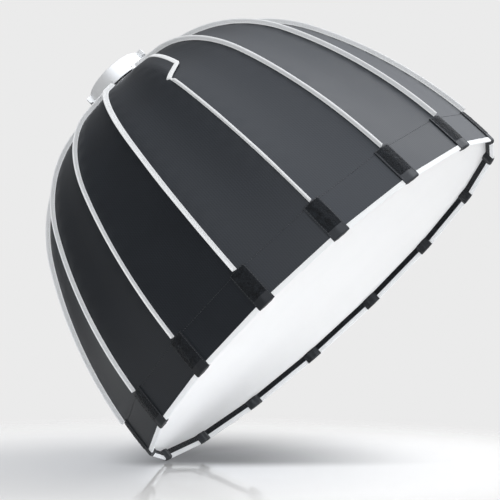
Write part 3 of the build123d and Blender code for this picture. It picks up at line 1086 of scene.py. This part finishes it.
def makeDiffuserHalf(side):
    edge = diffuserEdge()
    front = dome["diffuserRecess"] + diffuserSizes["inset"]
    rows = []
    for share in spread(0.0, 1.0, diffuserSizes["rows"]):
        reach = edge * share
        row = []
        for part in spread(0.0, 1.0, diffuserSizes["columns"]):
            across = reach * slope * part
            x = reach
            if share == 1.0 and part == 1.0:
                x -= diffuserSizes["notch"]
                across -= diffuserSizes["notch"] * slope
            row.append((toRow(x, side * across, front), side * across / 1000, reach / 1000))
        rows.append(row)
    half = gridPiece("diffuserHalf", rows, flip=side > 0)
    dress(half, "diffuser")
    mergeDoubles(half)
    applyModifier(half, "SOLIDIFY", thickness=diffuserSizes["thickness"] / 1000, offset=-1)
    smoothBelow(half, goreSizes["smooth"])
    path = []
    for across in spread(0.5, edge * slope - 6, 12):
        path.append((toRow(edge - diffuserSizes["stitchInset"], side * across, front), Vector((0, -1, 0))))
    return joined(half, stitchRow("diffuserStitches", path, "whiteThread"))


def makeHemHalf(side):
    start, width = diffuserSizes["hemStart"], diffuserSizes["hemWidth"]
    thickness = diffuserSizes["hemThickness"]
    lift = -dome["fabric"] - 2 * dome["layGap"] - thickness / 2

    def hemPoint(run, across):
        x, z = outlinePoint(run, lift, squeeze)
        return toRow(x, across, z)

    acrosses = [side * across for across in spread(0, rimHalfWidth - diffuserSizes["hemEnd"], 16)]
    rows = clothRows(spread(start, start + width, 8), lambda run: acrosses, hemPoint)
    return thickSheet("hemHalf", rows, side < 0, thickness, goreSizes["smooth"], "nylon")


diffuserParts = (
    (makeDiffuserHalf, "front_diffuser", "diffuser_cloth"),
    (makeHemHalf, "diffuser_hem", "loop_tape"),
)
for makeHalf, node, slotName in diffuserParts:
    halves = {-1: makeHalf(-1), 1: makeHalf(1)}
    for number, side, letter, arm, middle in panelHalves():
        half = turnedCopy(halves[side], f"{node}_{number:02d}_{letter}", middle)
        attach(half, "diffuser")
        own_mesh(half)
        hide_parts(node)
        if node == "front_diffuser":
            edge = diffuserEdge() / 1000
    discard(*halves.values())
print("diffuser made")

# Access flap beside rib 13, and the white tape round its free edges


def flapSpan(run):  # hinge side and free side, across the panel
    half = panelHalfWidth(run)
    return -half, min(flapSizes["width"] - half, half - flapSizes["margin"])


def flapLift(run, aside):  # height of the flap's face, flush with the next panel at its hinge
    lean = outlineState(run)[2]
    ridge = 2 * slope * math.cos(lean)
    rounding = flapSizes["rounding"]
    near = min(aside, rounding)
    curve = ridge * (near - near * near / (2 * rounding))
    laid = dome["layGap"] + flapSizes["thickness"]
    return curve + (laid - curve) * smoothStep(aside, rounding * 0.5, rounding * 1.5)


def flapPoint(run, across, more=0.0):
    aside = across + panelHalfWidth(run)
    x, z = outlinePoint(run, flapLift(run, aside) + more, squeeze)
    return toRow(x, across, z)


def flapStart(share):  # run at which the flap ends, from its hinge side to its free side
    reach = flapSizes["innerEnd"] + (flapSizes["outerEnd"] - flapSizes["innerEnd"]) * share
    fromFree = (1 - share) * flapSizes["width"]
    corner = flapSizes["corner"]
    if fromFree < corner:
        reach -= corner - math.sqrt(corner * corner - (corner - fromFree) ** 2)
    return runAtRadius(reach / squeeze)


def makeFlap():
    rows = []
    shares = spread(0.0, 1.0, flapSizes["columns"])
    starts = [flapStart(share) for share in shares]
    for part in spread(0.0, 1.0, flapSizes["rows"]):
        row = []
        for share, start in zip(shares, starts):
            run = start + (finEndRun - start) * part
            hinge, free = flapSpan(run)
            across = hinge + (free - hinge) * share
            row.append((flapPoint(run, across), across / 1000, run / 1000))
        rows.append(row)
    return thickSheet(
        "accessFlap", rows, False, flapSizes["thickness"], goreSizes["smooth"], "twill", "silver",
        offset=-1, material_offset=1,
    )


def flapEdgePath():  # run and across along the free edges, from the neck round to the hinge
    path = []
    tip, bend = flapSizes["tapeTip"], flapSizes["tapeBend"]
    for run in spread(finEndRun, flapStart(tip), 70):
        path.append((run, flapSpan(run)[1]))
    for share in spread(tip, bend, 8)[1:] + spread(bend, 0.0, 10)[1:]:
        run = flapStart(share)
        hinge, free = flapSpan(run)
        path.append((run, hinge + (free - hinge) * share))
    return path


def makeFlapTape():
    middle = -flapSizes["thickness"] / 2
    path = flapEdgePath()
    edge = [flapPoint(run, across, middle) for run, across in path]
    lower = [flapPoint(run, across, middle - 1.0) for run, across in path]
    thick = (flapSizes["thickness"] / 2 + flapSizes["tapeThickness"]) / 1000
    wide = flapSizes["tapeWidth"] / 1000
    section = [  # inward from the edge in metres, and height in thicknesses, round the folded tape
        (wide, 0.25), (wide, 0.9), (wide * 0.9, 1.0), (wide * 0.5, 1.05), (wide * 0.12, 1.0),
        (-0.0002, 0.75), (-0.0005, 0.2), (-0.0002, -0.3), (wide * 0.12, -0.55), (wide, -0.5),
    ]
    rows = []
    walked = 0.0
    stitches = []
    for index, point in enumerate(edge):
        before = edge[max(index - 1, 0)]
        after = edge[min(index + 1, len(edge) - 1)]
        along = (after - before).normalized()
        outward = (point - lower[index]).normalized()
        inward = along.cross(outward).normalized()
        if index:
            walked += (point - before).length
        row = []
        for number, (reach, rise) in enumerate(section):
            row.append((point + inward * reach + outward * thick * rise, number / 1000, walked))
        rows.append(row)
        stitches.append((point + inward * wide * flapSizes["stitchInset"] + outward * thick, outward))
    tape = gridPiece("flapTape", rows, girth=0.01, caps=True)
    dress(tape, "whiteTape")
    return joined(tape, stitchRow("flapStitches", stitches, "whiteThread"))


flapMiddle = ribAngle(flapSizes["rib"]) + halfPitch
flapParts = (
    (makeFlap, "access_flap", "black_fabric"),
    (makeFlapTape, "flap_binding", "white_binding"),
)
for makePart, node, slotName in flapParts:
    part = makePart()
    piece = turnedCopy(part, f"{node}_cloth", flapMiddle)
    discard(part)
    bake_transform(piece)
    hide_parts(node)
    if node == "access_flap":
        size = (flapSizes["width"] / 1000, (finEndRun - flapStart(0.5)) / 1000)
print("flap made")

# Elastic hem round the collar

elasticSizes = {"radius": 1.3, "ribs": 220, "relief": 0.14, "sides": 12}


def makeElastic():
    low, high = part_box("neck_hem")
    major = (high.x - low.x) / 2 - elasticSizes["radius"] / 1000
    middle = (low.y + high.y) / 2
    deselectAll()
    bpy.ops.mesh.primitive_torus_add(
        location=(0, middle, 0),
        rotation=(math.pi / 2, 0, 0),
        major_radius=major,
        minor_radius=elasticSizes["radius"] / 1000,
        major_segments=2 * elasticSizes["ribs"],
        minor_segments=elasticSizes["sides"],
    )
    hem = bpy.context.object
    hem.name = "neck_elastic"
    bpy.ops.object.transform_apply(location=True, rotation=True, scale=True)
    for vertex in hem.data.vertices:  # knitted ribs: each second ring of vertices is drawn in
        ringIndex = vertex.index // elasticSizes["sides"]
        if ringIndex % 2:
            centre = Vector((vertex.co.x, 0, vertex.co.z)).normalized() * major + Vector((0, middle, 0))
            vertex.co = centre + (vertex.co - centre) * (1 - elasticSizes["relief"])
    for face in hem.data.polygons:
        face.use_smooth = True
    dress(hem, "elastic")
    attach(hem, "hub")
    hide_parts("neck_hem")


makeElastic()
print("elastic made")

# Camera above and beside the dome, floor under the lowest corner, and soft studio light

cameraSizes = {
    "place": (-2.8409, -0.9545, 0.4827),
    "forward": (0.96315, 0.20513, -0.17395),
    "up": (-0.02748, 0.71844, 0.69505),
    "lens": 139.0,
    "sensor": 36.0,
}


def makeCamera():
    forward = Vector(cameraSizes["forward"]).normalized()
    right = forward.cross(Vector(cameraSizes["up"])).normalized()
    up = right.cross(forward)
    lensData = bpy.data.cameras.new("studioCamera")
    lensData.lens = cameraSizes["lens"]
    lensData.sensor_width = cameraSizes["sensor"]
    lensData.clip_end = 50
    camera = placed("studioCamera", lensData)
    turn = Matrix((right, up, -forward)).transposed().to_4x4()
    camera.matrix_world = Matrix.Translation(cameraSizes["place"]) @ turn
    bpy.context.scene.camera = camera
    return right, up, -forward


imageRight, imageUp, towardCamera = makeCamera()

lampSizes = {  # place: right, up and toward the camera, in metres from the dome's middle
    "key": {"place": (1.6, 1.9, -0.5), "size": (1.7, 1.7), "power": 26.0},
    "fill": {"place": (-0.2, 1.0, 2.6), "size": (1.8, 1.8), "power": 9.0},
    "front": {"place": (2.9, -0.5, 0.8), "size": (1.6, 1.6), "power": 11.0},
}
domeMiddle = Vector((0, -ringHeight / 2000, 0))


def makeLamp(name):
    sizes = lampSizes[name]
    right, up, back = sizes["place"]
    lampData = bpy.data.lights.new(name, "AREA")
    lampData.shape = "RECTANGLE"
    lampData.size, lampData.size_y = sizes["size"]
    lampData.energy = sizes["power"]
    lamp = placed(name, lampData)
    place = domeMiddle + imageRight * right + imageUp * up + towardCamera * back
    turn = (domeMiddle - place).to_track_quat("-Z", "Y").to_matrix().to_4x4()
    lamp.matrix_world = Matrix.Translation(place) @ turn


for lampName in lampSizes:
    makeLamp(lampName)

worldSizes = {
    "background": "#ebebeb",
    "white": "#ffffff",
    "ambient": 0.77,
    "tent": "#f0f4fb",    # the tent is what shiny surfaces mirror
    "overhead": (0.62, 0.7, 0.36),  # right, up and toward the camera: its bright side
    "glow": (0.1, 3.7),   # its strength, from its dark side to its bright side
    "glowSpan": (-0.1, 0.85),
    "wall": 0.84,         # its strength straight behind the dome
    "wallSpan": (0.94, 0.985),
}


def makeWorld():
    sizes = worldSizes
    world = bpy.data.worlds.new("studio")
    world.use_nodes = True
    tree = world.node_tree
    tree.nodes.clear()
    path = addNode(tree, "LightPath").outputs
    straight = {0: path["Is Camera Ray"], 1: path["Is Transmission Ray"]}
    seen = addNode(tree, "Math", straight, 0, operation="MAXIMUM")
    plain = {"Color": linear(sizes["background"]), "Strength": 1.0}
    backdrop = addNode(tree, "Background", plain, 0)
    soft = {"Color": linear(sizes["white"]), "Strength": sizes["ambient"]}
    light = addNode(tree, "Background", soft, 0)
    right, up, back = sizes["overhead"]
    overhead = imageRight * right + imageUp * up + towardCamera * back
    gaze = addNode(tree, "TexCoord", output="Generated")
    height = addNode(tree, "VectorMath", {0: gaze, 1: overhead}, "Value", operation="DOT_PRODUCT")
    away = addNode(tree, "VectorMath", {0: gaze, 1: -towardCamera}, "Value", operation="DOT_PRODUCT")
    low, high = sizes["glowSpan"]
    dim, bright = sizes["glow"]
    rising = {"Value": height, "From Min": low, "From Max": high, "To Min": dim, "To Max": bright}
    glow = addNode(tree, "MapRange", rising, "Result", interpolation_type="SMOOTHSTEP")
    low, high = sizes["wallSpan"]
    rising = {"Value": away, "From Min": low, "From Max": high, "To Max": sizes["wall"]}
    wall = addNode(tree, "MapRange", rising, "Result", interpolation_type="SMOOTHSTEP")
    strength = addNode(tree, "Math", {0: glow, 1: wall}, 0, operation="MAXIMUM")
    tent = addNode(tree, "Background", {"Color": linear(sizes["tent"]), "Strength": strength}, 0)
    unseen = addNode(tree, "MixShader", {0: path["Is Glossy Ray"], 1: light, 2: tent}, 0)
    surface = addNode(tree, "MixShader", {0: seen, 1: unseen, 2: backdrop}, 0)
    addNode(tree, "OutputWorld", {"Surface": surface})
    bpy.context.scene.world = world


makeWorld()

floorSizes = {
    "reach": 0.85,
    "sides": 64,
    "clearance": 0.004,  # how far it lies below the corner
    "fadeStart": 0.45,
    "fadeShare": 0.98,   # share of the reach where it has faded out
    "tones": ("#969696", "#fafafa"),  # in the middle of the shadow, and away from it
    "shine": (0.45, 0.06),            # near the corner, and away from it
    "shineFade": (0.1, 0.6),
    "blur": 0.04,
    "shadowPlace": (0.04, -0.02),     # right and toward the camera from the corner it stands on
    "shadowReach": (0.16, 0.42, 0.12, 0.6),  # to the left, right, front and back
}


def lopsided(tree, vector, direction, behind, ahead):  # distance along a direction, in shares of two reaches
    part = addNode(tree, "VectorMath", {0: vector, 1: direction}, "Value", operation="DOT_PRODUCT")
    forward = addNode(tree, "Math", {0: part, 1: ahead}, 0, operation="DIVIDE")
    backward = addNode(tree, "Math", {0: part, 1: -behind}, 0, operation="DIVIDE")
    return addNode(tree, "Math", {0: forward, 1: backward}, 0, operation="MAXIMUM")


def shadowTone(tree, place, corner):  # pale floor with a soft shadow that reaches unevenly round the corner
    aside, back = floorSizes["shadowPlace"]
    left, right, front, rear = floorSizes["shadowReach"]
    centre = corner + imageRight * aside + towardCamera * back
    gap = addNode(tree, "VectorMath", {0: place, 1: centre}, "Vector", operation="SUBTRACT")
    across = lopsided(tree, gap, imageRight, left, right)
    deep = lopsided(tree, gap, towardCamera, rear, front)
    squares = [addNode(tree, "Math", {0: part, 1: part}, 0, operation="MULTIPLY") for part in (across, deep)]
    squared = addNode(tree, "Math", dict(enumerate(squares)), 0, operation="ADD")
    distance = addNode(tree, "Math", {0: squared}, 0, operation="SQRT")
    away = addNode(tree, "MapRange", {"Value": distance}, "Result", interpolation_type="SMOOTHSTEP")
    dark, light = floorSizes["tones"]
    colours = {"Factor": away, "A": linear(dark), "B": linear(light)}
    return addNode(tree, "Mix", colours, "Result", data_type="RGBA")


def paleFloor(corner):
    material = bpy.data.materials.new("paleFloor")
    material.use_nodes = True
    tree = material.node_tree
    tree.nodes.clear()
    place = addNode(tree, "TexCoord", output="Object")
    offset = addNode(tree, "VectorMath", {0: place, 1: corner}, "Value", operation="DISTANCE")
    fadeEnd = floorSizes["reach"] * floorSizes["fadeShare"]
    fading = {"Value": offset, "From Min": floorSizes["fadeStart"], "From Max": fadeEnd}
    fade = addNode(tree, "MapRange", fading, "Result", interpolation_type="SMOOTHSTEP")
    below = addNode(tree, "NewGeometry", output="Backfacing")
    clear = addNode(tree, "Math", {0: fade, 1: below}, 0, operation="MAXIMUM")
    colour = shadowTone(tree, place, corner)
    matt = addNode(tree, "BsdfDiffuse", {"Color": colour}, 0)
    shine = addNode(tree, "BsdfGlossy", {"Color": colour, "Roughness": floorSizes["blur"]}, 0)
    start, end = floorSizes["shineFade"]
    most, least = floorSizes["shine"]
    duller = {"Value": offset, "From Min": start, "From Max": end, "To Min": most, "To Max": least}
    polish = addNode(tree, "MapRange", duller, "Result")
    board = addNode(tree, "MixShader", {0: polish, 1: matt, 2: shine}, 0)
    glass = addNode(tree, "BsdfTransparent", output=0)
    surface = addNode(tree, "MixShader", {0: clear, 1: board, 2: glass}, 0)
    addNode(tree, "OutputMaterial", {"Surface": surface})
    return material


def makeFloor():
    # the dome stands on its lowest rim corner, on a pale floor that fades out round it
    tip = outlinePoint(0, 0)
    corners = [toRowTurned(tip, ribAngle(number)) for number in range(dome["ribs"])]
    lowest = min(corners, key=lambda corner: corner.dot(imageUp))
    deselectAll()
    bpy.ops.mesh.primitive_circle_add(
        vertices=floorSizes["sides"], radius=floorSizes["reach"], fill_type="NGON", location=(0, 0, 0)
    )
    floor = bpy.context.object
    floor.name = "studio_floor"
    turn = imageUp.to_track_quat("Z", "Y").to_matrix().to_4x4()
    floor.data.transform(Matrix.Translation(lowest - imageUp * floorSizes["clearance"]) @ turn)
    floor.data.materials.append(paleFloor(lowest))


def toRowTurned(point, angle):
    return Matrix.Rotation(angle, 4, "Y") @ toRow(point[0], 0, point[1])


makeFloor()
bpy.context.scene.view_settings.view_transform = "Standard"
print("stage made")

bpy.context.view_layer.update()
